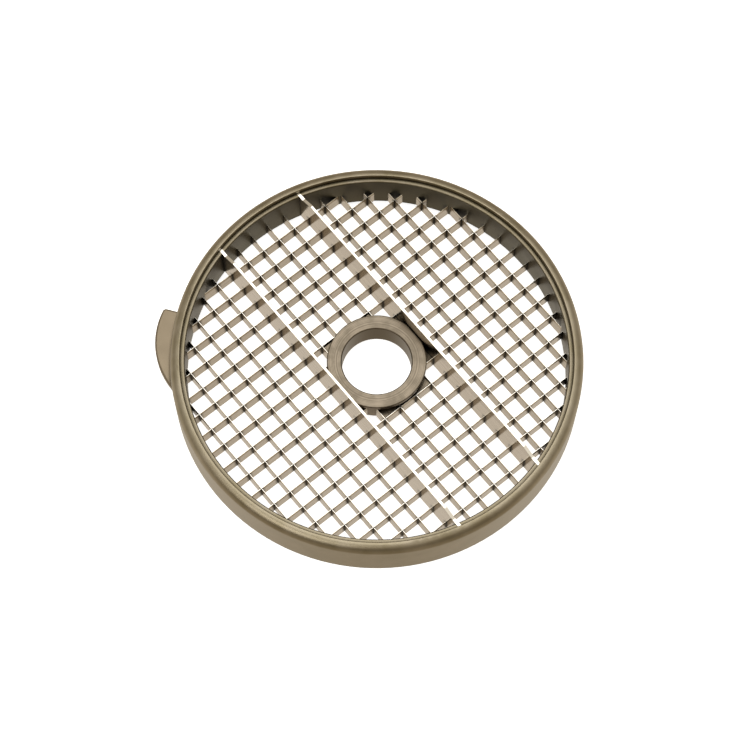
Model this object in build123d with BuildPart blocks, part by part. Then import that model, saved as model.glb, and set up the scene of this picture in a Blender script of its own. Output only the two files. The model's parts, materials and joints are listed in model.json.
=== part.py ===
from build123d import *
import os
from collections import namedtuple
from math import cos, radians, sin, sqrt

# Dicing grid of a vegetable preparation machine: a cast ring, a hub that the drive spindle passes
# through, two tall ribs and a square lattice of thin blades. Millimetres.
# Origin: on the bore axis, in the plane of the blades' lower edges. +Z points to the cutting edges,
# +X runs along the ribs and the long blades, +Y along the cross blades.

os.makedirs("parts", exist_ok=True)

# --- driving dimensions ---------------------------------------------------------------------------
fit_gap = 0.05            # clearance on each side of a seated blade, rib or hub

# lattice
cell_pitch = 10.0         # side of one dice
blade_thickness = 0.8
blade_height = 9.0
bevel_height = 1.5        # sharpened zone under the cutting edge
edge_width = 0.2          # flat that is left along the cutting edge
blade_seat_depth = 2.0    # how far a blade end reaches into the ring
hub_seat_depth = 2.5      # and into the hub

# ring
ring_diameter = 205.0
ring_wall = 7.3
ring_height = 28.0
foot_depth = 3.5          # the ring stands on this much of its wall below the blades
lip_width = 5.0           # the raised outer band around the ledge
ledge_drop = 2.8          # from the top of the lip down to the ledge
shoulder_radius = 4.4     # the lip is rounded over nearly all its width
lip_edge_radius = 0.5     # at the lip's inner rim
ledge_chamfer = 0.5       # at the ledge's inner rim
foot_rebate = 2.6         # bevel at the bottom of the ring's inner wall, wider than the seats are deep
foot_edge_radius = 1.0    # at the ring's outer lower edge

# lug on the ring's side
lug_reach = 9.7           # past the ring's outer wall
lug_arc_radius = 40.5
lug_angle = 221.2         # direction of the arc's centre, degrees from +X
lug_end_angle = 215.5     # the radial end face
lug_top = 12.0
lug_thickness = 5.0
lug_edge_radius = 1.0
lug_corner_radius = 1.8

# ribs
rib_line = 3              # lattice line that each rib replaces, counted from the middle
rib_thickness = 1.5
rib_height = 24.2
rib_ear_flat = 4.7        # level part at each end, in the ring's ledge
rib_ramp = 6.5            # slope from the ear up to the full height
rib_edge_radius = 0.25

# hub
bore_diameter = 35.0
bore_chamfer = 0.5        # at the top rim
flange_diameter = 49.8
hub_height = 13.7
flange_thickness = 2.4
body_diameter = 48.0      # the round body under the flange
flange_edge_radius = 0.5

# --- derived sizes --------------------------------------------------------------------------------
ring_radius = ring_diameter / 2
wall_radius = ring_radius - ring_wall
lip_radius = ring_radius - lip_width
ring_bottom = -foot_depth
ring_top = ring_bottom + ring_height
ledge_height = ring_top - ledge_drop
seat_radius = wall_radius + blade_seat_depth

lap_height = blade_height / 2
rib_offset = (rib_line - 0.5) * cell_pitch
body_radius = body_diameter / 2

# The hub's four arms are as long as the room between the ribs, and fill it between the second lattice
# lines. Their top is level with the foot of the cutting bevels.
hub_half_width = rib_offset - rib_thickness / 2 - fit_gap
arm_half_width = 1.5 * cell_pitch - blade_thickness / 2 - fit_gap
arm_height = blade_height - bevel_height


def half_chord(radius, offset):
    """Half the length of a chord at this distance from the centre."""
    return sqrt(radius**2 - offset**2)


def hub_reach(offset):
    """Distance from the hub's middle to its side, along a blade at this offset."""
    arm_reach = hub_half_width if offset < arm_half_width else arm_half_width
    body_reach = half_chord(body_radius, offset) if offset < body_radius else 0
    return max(arm_reach, body_reach)


# Lattice lines stand half a pitch off the middle, and only where the chord is at least a cell long
# on each side, so the last sliver next to the wall has none.
line_offsets = []
while len(line_offsets) < wall_radius / cell_pitch:
    next_offset = (len(line_offsets) + 0.5) * cell_pitch
    if next_offset >= wall_radius or half_chord(wall_radius, next_offset) < cell_pitch:
        break
    line_offsets.append(next_offset)


# A strip is a blade or a rib: it stands on its lattice line, offset from the middle, from start to end.
Strip = namedtuple("Strip", "name offset start end thickness")


def lattice_blades(kind, near_side, far_side, low_end, high_end, skipped_line=None):
    """All the blades that run one way. Those that meet the hub are two half blades."""
    blades = []
    for side, sign in ((near_side, -1), (far_side, 1)):
        for line, distance in enumerate(line_offsets, start=1):
            if line == skipped_line:
                continue
            name = f"{kind}_{side}_{line}"
            outer = half_chord(seat_radius, distance) - fit_gap
            if distance < hub_half_width:
                inner = hub_reach(distance) - hub_seat_depth + fit_gap
                blades.append(Strip(f"{name}_{low_end}", sign * distance, -outer, -inner, blade_thickness))
                blades.append(Strip(f"{name}_{high_end}", sign * distance, inner, outer, blade_thickness))
            else:
                blades.append(Strip(name, sign * distance, -outer, outer, blade_thickness))
    return blades


rib_reach = half_chord(lip_radius, rib_offset) - fit_gap
ribs = [
    Strip("rib_front", -rib_offset, -rib_reach, rib_reach, rib_thickness),
    Strip("rib_rear", rib_offset, -rib_reach, rib_reach, rib_thickness),
]
long_blades = lattice_blades("long_blade", "front", "rear", "left", "right", skipped_line=rib_line)
cross_blades = lattice_blades("cross_blade", "left", "right", "front", "rear")


def reaches(strip, other):
    """Whether this strip gets as far as the other one's side, which runs across it."""
    margin = other.thickness / 2 + fit_gap
    return strip.start - margin < other.offset < strip.end + margin


def crossings(strip, others):
    """The strips that run the other way and meet this one."""
    return [other for other in others if reaches(strip, other) and reaches(other, strip)]


def seat_outline(strips, along_x):
    """Outline of the seats of these strips, with their clearance, at the ring's lower rim."""
    with BuildSketch(Plane.XY.offset(ring_bottom)) as outline:
        for strip in strips:
            middle = (strip.start + strip.end) / 2
            length = strip.end - strip.start + 2 * fit_gap
            width = strip.thickness + 2 * fit_gap
            with Locations((middle, strip.offset) if along_x else (strip.offset, middle)):
                Rectangle(length if along_x else width, width if along_x else length)
    return outline.sketch


long_seats = seat_outline(long_blades, along_x=True)
cross_seats = seat_outline(cross_blades, along_x=False)
rib_seats = seat_outline(ribs, along_x=True)
seat_height = blade_height + fit_gap - ring_bottom

# --- lug: part of a large disc on the ring's side, cut off along a radius of the ring ---------------
lug_centre_distance = ring_radius + lug_reach - lug_arc_radius
lug_centre = (
    lug_centre_distance * cos(radians(lug_angle)),
    lug_centre_distance * sin(radians(lug_angle)),
)
with BuildPart() as lug:
    with BuildSketch(Plane.XY.offset(lug_top - lug_thickness)):
        with Locations(lug_centre):
            Circle(lug_arc_radius)
        Rectangle(
            2 * ring_diameter,
            ring_diameter,
            rotation=lug_end_angle,
            align=(Align.CENTER, Align.MAX),
            mode=Mode.SUBTRACT,
        )
    extrude(amount=lug_thickness)
    lug_corners = lug.edges().filter_by(Axis.Z).sort_by(lambda edge: edge.center().length)
    fillet(lug_corners[-1], lug_corner_radius)
    fillet(lug.faces().filter_by(Plane.XY).edges(), lug_edge_radius)
    with BuildSketch(Plane.XY.offset(lug_top - lug_thickness)):
        Circle(ring_radius - ring_wall / 2)
    extrude(amount=lug_thickness, mode=Mode.SUBTRACT)

# --- ring -----------------------------------------------------------------------------------------
with BuildPart() as ring:
    with BuildSketch(Plane.XZ):
        with BuildLine():
            Polyline(
                (wall_radius, 0),
                (wall_radius, ledge_height),
                (lip_radius, ledge_height),
                (lip_radius, ring_top),
                (ring_radius, ring_top),
                (ring_radius, ring_bottom),
                (wall_radius + foot_rebate, ring_bottom),
                close=True,
            )
        make_face()
    revolve(axis=Axis.Z)
    top_edges = ring.edges().filter_by_position(Axis.Z, ring_top, ring_top).sort_by(SortBy.RADIUS)
    ledge_edges = ring.edges().filter_by_position(Axis.Z, ledge_height, ledge_height)
    fillet(top_edges[-1], shoulder_radius)
    fillet(top_edges[0], lip_edge_radius)
    foot_edges = ring.edges().filter_by_position(Axis.Z, ring_bottom, ring_bottom).sort_by(SortBy.RADIUS)
    fillet(foot_edges[-1], foot_edge_radius)
    chamfer(ledge_edges.sort_by(SortBy.RADIUS)[0], ledge_chamfer)
    add(lug.part)
    extrude(long_seats, amount=seat_height, mode=Mode.SUBTRACT)
    extrude(cross_seats, amount=seat_height, mode=Mode.SUBTRACT)
    extrude(rib_seats, amount=ledge_height - ring_bottom, mode=Mode.SUBTRACT)

ring.part.label = "ring"
export_step(ring.part, "parts/ring.step")

# --- hub: a round body with four arms between the blades, and a flange that is cut flat along the ribs
flange_bottom = hub_height - flange_thickness
with BuildPart() as hub:
    with BuildSketch():
        Circle(body_radius)
        Rectangle(body_diameter, 2 * hub_half_width, mode=Mode.INTERSECT)
    extrude(amount=flange_bottom)
    with BuildSketch():
        for turn in (0, 90):
            Rectangle(2 * hub_half_width, 2 * arm_half_width, rotation=turn)
    extrude(amount=arm_height)
    with BuildSketch(Plane.XY.offset(flange_bottom)):
        Circle(flange_diameter / 2)
        Rectangle(flange_diameter, 2 * hub_half_width, mode=Mode.INTERSECT)
    extrude(amount=flange_thickness)
    fillet(hub.faces().sort_by(Axis.Z)[-1].edges(), flange_edge_radius)
    Hole(bore_diameter / 2)
    bore_rims = hub.edges().filter_by(GeomType.CIRCLE).sort_by(SortBy.RADIUS)[:2]
    chamfer(bore_rims.sort_by(Axis.Z)[-1], bore_chamfer)
    extrude(long_seats, amount=seat_height, mode=Mode.SUBTRACT)
    extrude(cross_seats, amount=seat_height, mode=Mode.SUBTRACT)

hub.part.label = "hub"
export_step(hub.part, "parts/hub.step")

# --- ribs: tall strips, slotted from below over the cross blades ------------------------------------
for strip in ribs:
    with BuildPart() as rib:
        with BuildSketch(Plane.XZ.offset(-strip.offset - strip.thickness / 2)):
            with BuildLine():
                ear_start = strip.end - rib_ear_flat
                ramp_start = ear_start - rib_ramp
                Polyline(
                    (0, 0),
                    (strip.end, 0),
                    (strip.end, ledge_height),
                    (ear_start, ledge_height),
                    (ramp_start, rib_height),
                    (0, rib_height),
                )
                mirror(about=Plane.YZ)
            make_face()
            for other in crossings(strip, cross_blades):
                with Locations((other.offset, 0)):
                    Rectangle(
                        other.thickness + 2 * fit_gap, 2 * (lap_height + fit_gap), mode=Mode.SUBTRACT
                    )
        extrude(amount=strip.thickness)
        top_rim = rib.edges().group_by(Axis.Z)[-1].filter_by(Axis.X)
        fillet(top_rim, rib_edge_radius)

    rib.part.label = strip.name
    export_step(rib.part, f"parts/{strip.name}.step")

# --- blades: the cross section, drawn upright on its lattice line, runs from one end to the other -----
with BuildSketch() as blade_section:
    with BuildLine():
        Polyline(
            (0, 0),
            (blade_thickness / 2, 0),
            (blade_thickness / 2, blade_height - bevel_height),
            (edge_width / 2, blade_height),
            (0, blade_height),
        )
        mirror(about=Plane.YZ)
    make_face()

# long blades are slotted from below, over the cross blades
for strip in long_blades:
    with BuildPart() as long_blade:
        with BuildSketch(Plane.YZ.offset(strip.start)):
            with Locations((strip.offset, 0)):
                add(blade_section.sketch)
        extrude(amount=strip.end - strip.start)
        for other in crossings(strip, cross_blades):
            slot_width = other.thickness + 2 * fit_gap
            with Locations((other.offset, strip.offset, 0)):
                Box(slot_width, 2 * strip.thickness, 2 * (lap_height + fit_gap), mode=Mode.SUBTRACT)

    long_blade.part.label = strip.name
    export_step(long_blade.part, f"parts/{strip.name}.step")

# cross blades are slotted from above, under the long blades and the ribs
for strip in cross_blades:
    with BuildPart() as cross_blade:
        with BuildSketch(Plane.XZ.offset(-strip.end)):
            with Locations((strip.offset, 0)):
                add(blade_section.sketch)
        extrude(amount=strip.end - strip.start)
        for other in crossings(strip, long_blades + ribs):
            slot_width = other.thickness + 2 * fit_gap
            with Locations((strip.offset, other.offset, blade_height)):
                Box(2 * strip.thickness, slot_width, 2 * (lap_height + fit_gap), mode=Mode.SUBTRACT)

    cross_blade.part.label = strip.name
    export_step(cross_blade.part, f"parts/{strip.name}.step")
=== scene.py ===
import json
from math import cos, pi, radians, sin

import bpy
from mathutils import Matrix, Vector


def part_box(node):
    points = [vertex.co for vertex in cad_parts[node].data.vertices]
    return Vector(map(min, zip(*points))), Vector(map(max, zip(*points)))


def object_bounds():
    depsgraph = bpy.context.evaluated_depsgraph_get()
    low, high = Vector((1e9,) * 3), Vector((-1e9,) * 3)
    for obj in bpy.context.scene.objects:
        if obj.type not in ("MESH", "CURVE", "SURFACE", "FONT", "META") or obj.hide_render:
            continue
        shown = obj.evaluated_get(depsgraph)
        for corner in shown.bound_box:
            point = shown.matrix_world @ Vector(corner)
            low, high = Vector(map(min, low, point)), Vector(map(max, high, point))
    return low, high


# Dicing grid of a vegetable preparation machine. Metres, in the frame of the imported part: the origin is on
# the bore's axis in the plane of the blades' lower edges, +Z goes to the cutting edges, +X along the ribs.

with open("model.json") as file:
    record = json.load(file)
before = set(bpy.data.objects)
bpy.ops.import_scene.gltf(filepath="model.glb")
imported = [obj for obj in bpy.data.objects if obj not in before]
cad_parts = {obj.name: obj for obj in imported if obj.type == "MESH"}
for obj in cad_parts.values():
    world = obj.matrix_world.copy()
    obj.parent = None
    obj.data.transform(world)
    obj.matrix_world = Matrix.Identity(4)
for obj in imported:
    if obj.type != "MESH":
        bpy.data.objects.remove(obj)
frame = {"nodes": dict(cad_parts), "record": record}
cad_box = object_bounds()


# --- sizes and places -----------------------------------------------------------------------------

MM = 0.001

wall_thickness = 7.3 * MM
ring_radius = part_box("ring")[1].x
inner_wall_radius = ring_radius - wall_thickness
mounts = {mount["name"]: mount for mount in frame["record"]["mounts"]}
bore_radius = mounts["hub_bore"]["dims"]["r_mm"] * MM
blade_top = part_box("long_blade_front_4")[1].z
rib_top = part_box("rib_front")[1].z

# the painted shade on the ring's inner wall and in the hub's bore ends just past their radius, and the
# painted shade on the lug begins just past the ring's
inner_shade_full = inner_wall_radius + 0.1 * MM
inner_shade_gone = inner_wall_radius + 0.3 * MM
lug_shade_gone = ring_radius + 0.1 * MM
lug_shade_full = ring_radius + 0.5 * MM
bore_shade_full = bore_radius + 0.1 * MM
bore_shade_gone = bore_radius + 0.3 * MM

bright_edge = 0.45 * MM  # height of the bright strip at the top of a blade or a rib: the sharpened edge's lighter steel, with a painted highlight on it
bright_edge_fade = 0.1 * MM
# how far the painted shade in corners and under the flange reaches
corner_shade_reach = 3 * MM
flange_shade_reach = 4 * MM

floor_half_side = 4.0
floor_gap = 0.02 * MM  # keeps the floor off the ring's foot

# the camera looks down on the grid from the +X, -Y side
view_azimuth = radians(50.60)
view_elevation = radians(68.49)
view_roll = radians(0.29)
view_distance = 1.1106
view_target = Vector((0.00048, -0.00471, 0.010))

dim_side_azimuth = radians(-39.4)  # from +X towards +Y; the sky is dimmest on this side
sky_strength = 1.05


# --- colours and nodes ----------------------------------------------------------------------------

def linear(hex_colour):
    """An sRGB hex colour as Blender's linear RGBA."""
    channels = [int(hex_colour[i:i + 2], 16) / 255 for i in (1, 3, 5)]
    return [c / 12.92 if c <= 0.04045 else ((c + 0.055) / 1.055) ** 2.4 for c in channels] + [1.0]


NEW_RAMP_STOPS = 2  # a new colour ramp comes with two stops
MIX_A, MIX_B, MIX_RESULT = 6, 7, 2  # the Mix node's colour sockets; other sockets have the same names


def add_node(tree, kind, inputs=None, stops=(), **settings):
    """Adds a node. Inputs are values or outputs, by the socket's name or number. Stops are a ramp's."""
    node = tree.nodes.new(kind)
    for name, value in settings.items():
        setattr(node, name, value)
    for index, (position, hex_colour) in enumerate(stops):
        ramp = node.color_ramp.elements
        stop = ramp[index] if index < NEW_RAMP_STOPS else ramp.new(position)
        stop.position = position
        stop.color = linear(hex_colour)
    for key, value in (inputs or {}).items():
        if isinstance(value, bpy.types.NodeSocket):
            tree.links.new(value, node.inputs[key])
        else:
            node.inputs[key].default_value = value
    return node


def start_material(name):
    """A new material, its tree, its shader and its object coordinates, which are the frame's metres."""
    material = bpy.data.materials.new(name)
    material.use_nodes = True
    tree = material.node_tree
    shader = tree.nodes["Principled BSDF"]
    place = add_node(tree, "ShaderNodeTexCoord").outputs["Object"]
    return material, tree, shader, place


# --- materials ------------------------------------------------------------------------------------

def up_facing(tree, low, high):
    """1 where the surface faces up and 0 where it stands upright. The normal's height sets the change."""
    normal = add_node(tree, "ShaderNodeTexCoord").outputs["Normal"]
    height = add_node(tree, "ShaderNodeSeparateXYZ", {0: normal}).outputs["Z"]
    return add_node(
        tree, "ShaderNodeMapRange", {"Value": height, "From Min": low, "From Max": high},
    ).outputs["Result"]


def painted_corner_shade(tree, reach, darkest, clear):
    """1 in tight corners, where shade falls and is painted in as a darker colour, and 0 in the open.

    The mask is full where the open share within reach is darkest, and gone where it is clear.
    """
    open_share = add_node(tree, "ShaderNodeAmbientOcclusion", {"Distance": reach}, samples=8)
    return add_node(
        tree, "ShaderNodeMapRange",
        {"Value": open_share.outputs["AO"], "From Min": clear, "From Max": darkest},
    ).outputs["Result"]


def radius_from_bore(tree, place):
    """Distance from the bore's axis."""
    flat = add_node(tree, "ShaderNodeVectorMath", {0: place, 1: (1.0, 1.0, 0.0)}, operation="MULTIPLY")
    return add_node(
        tree, "ShaderNodeVectorMath", {0: flat.outputs[0]}, operation="LENGTH",
    ).outputs["Value"]


def cast_aluminium():
    """Cast, bead blasted aluminium, dulled by use: a soft, mottled warm grey, with painted shade on the inner
    wall, on the side tab and in tight corners.
    """
    material, tree, shader, place = start_material("cast_aluminium_bead_blasted")
    # the mottling is about 9 mm across
    mottle = add_node(
        tree, "ShaderNodeTexNoise", {"Vector": place, "Scale": 1 / (9 * MM), "Detail": 5.0},
    ).outputs["Fac"]
    tone = add_node(
        tree, "ShaderNodeValToRGB", {"Fac": mottle}, stops=[(0.30, "#91876F"), (0.70, "#A59B87")],
    ).outputs["Color"]
    radius = radius_from_bore(tree, place)
    # painted shade: the ring's inner wall is coloured darker, standing in for the shade inside the ring
    inner_wall_shade = add_node(
        tree, "ShaderNodeMapRange",
        {"Value": radius, "From Min": inner_shade_gone, "From Max": inner_shade_full},
    ).outputs["Result"]
    tone = add_node(
        tree, "ShaderNodeMix", {"Factor": inner_wall_shade, MIX_A: tone, MIX_B: linear("#4F4A38")},
        data_type="RGBA",
    ).outputs[MIX_RESULT]
    # painted shade: the lug outside the ring is coloured darker, standing in for the shade on it
    lug_shade = add_node(
        tree, "ShaderNodeMapRange",
        {"Value": radius, "From Min": lug_shade_gone, "From Max": lug_shade_full},
    ).outputs["Result"]
    tone = add_node(
        tree, "ShaderNodeMix", {"Factor": lug_shade, MIX_A: tone, MIX_B: linear("#857966")},
        data_type="RGBA",
    ).outputs[MIX_RESULT]
    # painted shade: the colour darkens in the ring's tight corners, where shade falls
    shade_in_corners = painted_corner_shade(tree, corner_shade_reach, darkest=0.52, clear=0.85)
    tone = add_node(
        tree, "ShaderNodeMix", {"Factor": shade_in_corners, MIX_A: tone, MIX_B: linear("#332D1E")},
        data_type="RGBA",
    ).outputs[MIX_RESULT]
    # blast grain is about 0.1 mm; it is drawn at 0.7 mm, so that it shows
    grain = add_node(
        tree, "ShaderNodeTexNoise", {"Vector": place, "Scale": 1 / (0.7 * MM), "Detail": 2.0},
    ).outputs["Fac"]
    bump = add_node(tree, "ShaderNodeBump", {"Height": grain, "Strength": 0.25, "Distance": 0.1 * MM})
    rough = add_node(tree, "ShaderNodeMapRange", {"Value": mottle, "To Min": 0.30, "To Max": 0.44})
    tree.links.new(tone, shader.inputs["Base Color"])
    tree.links.new(rough.outputs["Result"], shader.inputs["Roughness"])
    tree.links.new(bump.outputs["Normal"], shader.inputs["Normal"])
    shader.inputs["Metallic"].default_value = 1.0
    return material


def turned_aluminium():
    """Aluminium turned on a lathe: satin, with fine grooves round the bore, and painted shade in the bore and
    under the flange.
    """
    material, tree, shader, place = start_material("turned_aluminium")
    radius = radius_from_bore(tree, place)
    # the tool feed is about 0.15 mm; the grooves are drawn 0.6 mm apart, so that they show
    grooves = add_node(
        tree, "ShaderNodeTexNoise", {"W": radius, "Scale": 1 / (0.6 * MM), "Detail": 2.0},
        noise_dimensions="1D",
    ).outputs["Fac"]
    # worn patches are about 5 mm across
    mottle = add_node(
        tree, "ShaderNodeTexNoise", {"Vector": place, "Scale": 1 / (5 * MM), "Detail": 5.0},
    ).outputs["Fac"]
    worn = add_node(tree, "ShaderNodeMath", {0: grooves, 1: mottle}, operation="MULTIPLY").outputs[0]
    tone = add_node(
        tree, "ShaderNodeValToRGB", {"Fac": worn}, stops=[(0.15, "#6F6658"), (0.36, "#8D8272")],
    ).outputs["Color"]
    # painted shade: the bore is coloured darker, standing in for the shade inside it
    bore_shade = add_node(
        tree, "ShaderNodeMapRange",
        {"Value": radius, "From Min": bore_shade_gone, "From Max": bore_shade_full},
    ).outputs["Result"]
    tone = add_node(
        tree, "ShaderNodeMix", {"Factor": bore_shade, MIX_A: tone, MIX_B: linear("#625846")},
        data_type="RGBA",
    ).outputs[MIX_RESULT]
    # painted shade: the colour darkens under the flange and in the hub's corners, where shade falls
    shade_in_corners = painted_corner_shade(tree, flange_shade_reach, darkest=0.3, clear=0.7)
    tone = add_node(
        tree, "ShaderNodeMix", {"Factor": shade_in_corners, MIX_A: tone, MIX_B: linear("#2E281B")},
        data_type="RGBA",
    ).outputs[MIX_RESULT]
    bump = add_node(tree, "ShaderNodeBump", {"Height": worn, "Strength": 0.3, "Distance": 0.1 * MM})
    tree.links.new(tone, shader.inputs["Base Color"])
    tree.links.new(bump.outputs["Normal"], shader.inputs["Normal"])
    shader.inputs["Metallic"].default_value = 1.0
    shader.inputs["Roughness"].default_value = 0.36
    return material


def grained_steel(name, along, dark, light, bright_from, roughness):
    """Steel strip with lengthwise grinding marks: fine streaks, a bright upper edge that is partly painted
    highlight, and painted shade in the corners.
    """
    material, tree, shader, place = start_material(name)
    # grain lines are about 0.05 mm apart and 20 mm long; they are drawn 0.5 mm apart, so that they show
    stretch = [1 / (0.5 * MM)] * 3
    stretch[along] = 1 / (20 * MM)
    lines = add_node(tree, "ShaderNodeVectorMath", {0: place, 1: stretch}, operation="MULTIPLY")
    grain = add_node(
        tree, "ShaderNodeTexNoise", {"Vector": lines.outputs[0], "Scale": 1.0, "Detail": 3.0},
    ).outputs["Fac"]
    tone = add_node(
        tree, "ShaderNodeValToRGB", {"Fac": grain}, stops=[(0.3, dark), (0.7, light)],
    ).outputs["Color"]
    # painted shade: the colour darkens where blades cross and meet the ribs, where shade falls
    shade_in_corners = painted_corner_shade(tree, corner_shade_reach, darkest=0.58, clear=0.86)
    tone = add_node(
        tree, "ShaderNodeMix", {"Factor": shade_in_corners, MIX_A: tone, MIX_B: linear("#2A2317")},
        data_type="RGBA",
    ).outputs[MIX_RESULT]
    # painted highlight: the top strip and every face that looks up turn near-white; the sharpened steel there
    # is lighter, and the light from above is painted in on top
    height = add_node(tree, "ShaderNodeSeparateXYZ", {0: place}).outputs["Z"]
    near_top = add_node(
        tree, "ShaderNodeMapRange",
        {"Value": height, "From Min": bright_from, "From Max": bright_from + bright_edge_fade},
    ).outputs["Result"]
    ground_edge_and_highlight = add_node(
        tree, "ShaderNodeMath", {0: near_top, 1: up_facing(tree, low=0.3, high=0.6)}, operation="MAXIMUM",
    ).outputs[0]
    tone = add_node(
        tree, "ShaderNodeMix", {"Factor": ground_edge_and_highlight, MIX_A: tone, MIX_B: linear("#F6F1E6")},
        data_type="RGBA",
    ).outputs[MIX_RESULT]
    bump = add_node(tree, "ShaderNodeBump", {"Height": grain, "Strength": 0.15, "Distance": 0.05 * MM})
    tree.links.new(tone, shader.inputs["Base Color"])
    tree.links.new(bump.outputs["Normal"], shader.inputs["Normal"])
    shader.inputs["Metallic"].default_value = 1.0
    shader.inputs["Roughness"].default_value = roughness
    return material


ALONG_X, ALONG_Y = 0, 1

# a node's finish goes by the first word of its name
finishes = {
    "ring": cast_aluminium(),
    "hub": turned_aluminium(),
    "rib": grained_steel(
        "polished_steel_strip", ALONG_X, dark="#A69B8B", light="#C0B5A5",
        bright_from=rib_top - bright_edge, roughness=0.18,
    ),
    "long": grained_steel(
        "brushed_blade_steel_lengthwise", ALONG_X, dark="#A2988A", light="#C0B6A6",
        bright_from=blade_top - bright_edge, roughness=0.24,
    ),
    "cross": grained_steel(
        "brushed_blade_steel_crosswise", ALONG_Y, dark="#A2988A", light="#C0B6A6",
        bright_from=blade_top - bright_edge, roughness=0.24,
    ),
}
for name, node in frame["nodes"].items():
    node.data.materials.clear()
    node.data.materials.append(finishes[name.split("_")[0]])


# --- floor, light and camera ----------------------------------------------------------------------

def make_floor():
    """A wide sheet of white opal acrylic that glows softly, under the ring."""
    level = cad_box[0].z - floor_gap
    mesh = bpy.data.meshes.new("floor")
    sides = ((-1, -1), (1, -1), (1, 1), (-1, 1))
    corners = [(x * floor_half_side, y * floor_half_side, level) for x, y in sides]
    mesh.from_pydata(corners, [], [(0, 1, 2, 3)])
    floor = bpy.data.objects.new("floor", mesh)
    bpy.context.scene.collection.objects.link(floor)
    material = bpy.data.materials.new("opal_acrylic")
    material.use_nodes = True
    shader = material.node_tree.nodes["Principled BSDF"]
    shader.inputs["Base Color"].default_value = linear("#F2F1EE")
    shader.inputs["Roughness"].default_value = 0.9
    shader.inputs["Specular IOR Level"].default_value = 0.1
    shader.inputs["Emission Color"].default_value = linear("#FFFFFF")
    shader.inputs["Emission Strength"].default_value = 0.9
    mesh.materials.append(material)
    # the metal doesn't mirror the floor's glow
    floor.visible_glossy = False
    return floor


make_floor()


def make_sky():
    """Soft light from all round, dimmest just above the horizon and on one side. The camera sees it white."""
    world = bpy.data.worlds.new("soft_studio")
    bpy.context.scene.world = world
    world.use_nodes = True
    tree = world.node_tree
    background = tree.nodes["Background"]
    direction = add_node(tree, "ShaderNodeTexCoord").outputs["Generated"]
    height = add_node(tree, "ShaderNodeSeparateXYZ", {0: direction}).outputs["Z"]
    # 0 straight down, 0.5 at the horizon and 1 straight up
    level = add_node(
        tree, "ShaderNodeMapRange", {"Value": height, "From Min": -1.0, "From Max": 1.0},
    ).outputs["Result"]
    light = add_node(
        tree, "ShaderNodeValToRGB", {"Fac": level},
        stops=[(0.0, "#E8DFD2"), (0.45, "#F0E8DC"), (0.60, "#B4ADA3"), (0.82, "#D3CDC3"), (0.98, "#FBF8F2")],
    ).outputs["Color"]
    dim_side = (cos(dim_side_azimuth), sin(dim_side_azimuth), 0.0)
    along_dim_side = add_node(
        tree, "ShaderNodeVectorMath", {0: direction, 1: dim_side}, operation="DOT_PRODUCT",
    ).outputs["Value"]
    # 0 straight away from the dim side and 1 straight towards it
    towards = add_node(
        tree, "ShaderNodeMapRange", {"Value": along_dim_side, "From Min": -1.0, "From Max": 1.0},
    ).outputs["Result"]
    dimming = add_node(
        tree, "ShaderNodeValToRGB", {"Fac": towards},
        stops=[
            (0.10, "#E2DDD5"), (0.32, "#FFFFFF"), (0.55, "#FFFFFF"), (0.685, "#DAD3C7"), (0.90, "#BBB4A8"),
        ],
    ).outputs["Color"]
    light = add_node(
        tree, "ShaderNodeMix", {"Factor": 1.0, MIX_A: light, MIX_B: dimming},
        data_type="RGBA", blend_type="MULTIPLY",
    ).outputs[MIX_RESULT]
    seen_by_camera = add_node(tree, "ShaderNodeLightPath").outputs["Is Camera Ray"]
    light = add_node(
        tree, "ShaderNodeMix", {"Factor": seen_by_camera, MIX_A: light, MIX_B: linear("#FFFFFF")},
        data_type="RGBA",
    ).outputs[MIX_RESULT]
    tree.links.new(light, background.inputs["Color"])
    background.inputs["Strength"].default_value = sky_strength


make_sky()


def soft_box(name, place, side, power):
    """A square area light that faces the origin. Power is in watts."""
    lamp = bpy.data.lights.new(name, "AREA")
    lamp.size = side
    lamp.energy = power
    light = bpy.data.objects.new(name, lamp)
    light.location = place
    light.rotation_euler = (-Vector(place)).to_track_quat("-Z", "Y").to_euler()
    bpy.context.scene.collection.objects.link(light)


# one brightens the walls on the -Y side, the other the flat tops
soft_box("side_light", place=(0.2, -0.9, 1.0), side=0.7, power=3.0)
soft_box("overhead_light", place=(-0.20, 0.16, 1.15), side=0.8, power=2.8)

camera = bpy.data.objects.new("camera", bpy.data.cameras.new("camera"))
bpy.context.scene.collection.objects.link(camera)
bpy.context.scene.camera = camera
camera.data.lens = 108.14
camera.data.sensor_width = 36.0
back = Vector((
    sin(view_azimuth) * cos(view_elevation),
    -cos(view_azimuth) * cos(view_elevation),
    sin(view_elevation),
))
camera.matrix_world = (
    Matrix.Translation(view_target + view_distance * back)
    @ Matrix.Rotation(view_roll, 4, back)
    @ Matrix.Rotation(view_azimuth, 4, "Z")
    @ Matrix.Rotation(pi / 2 - view_elevation, 4, "X")
)
bpy.context.scene.view_settings.view_transform = "Standard"
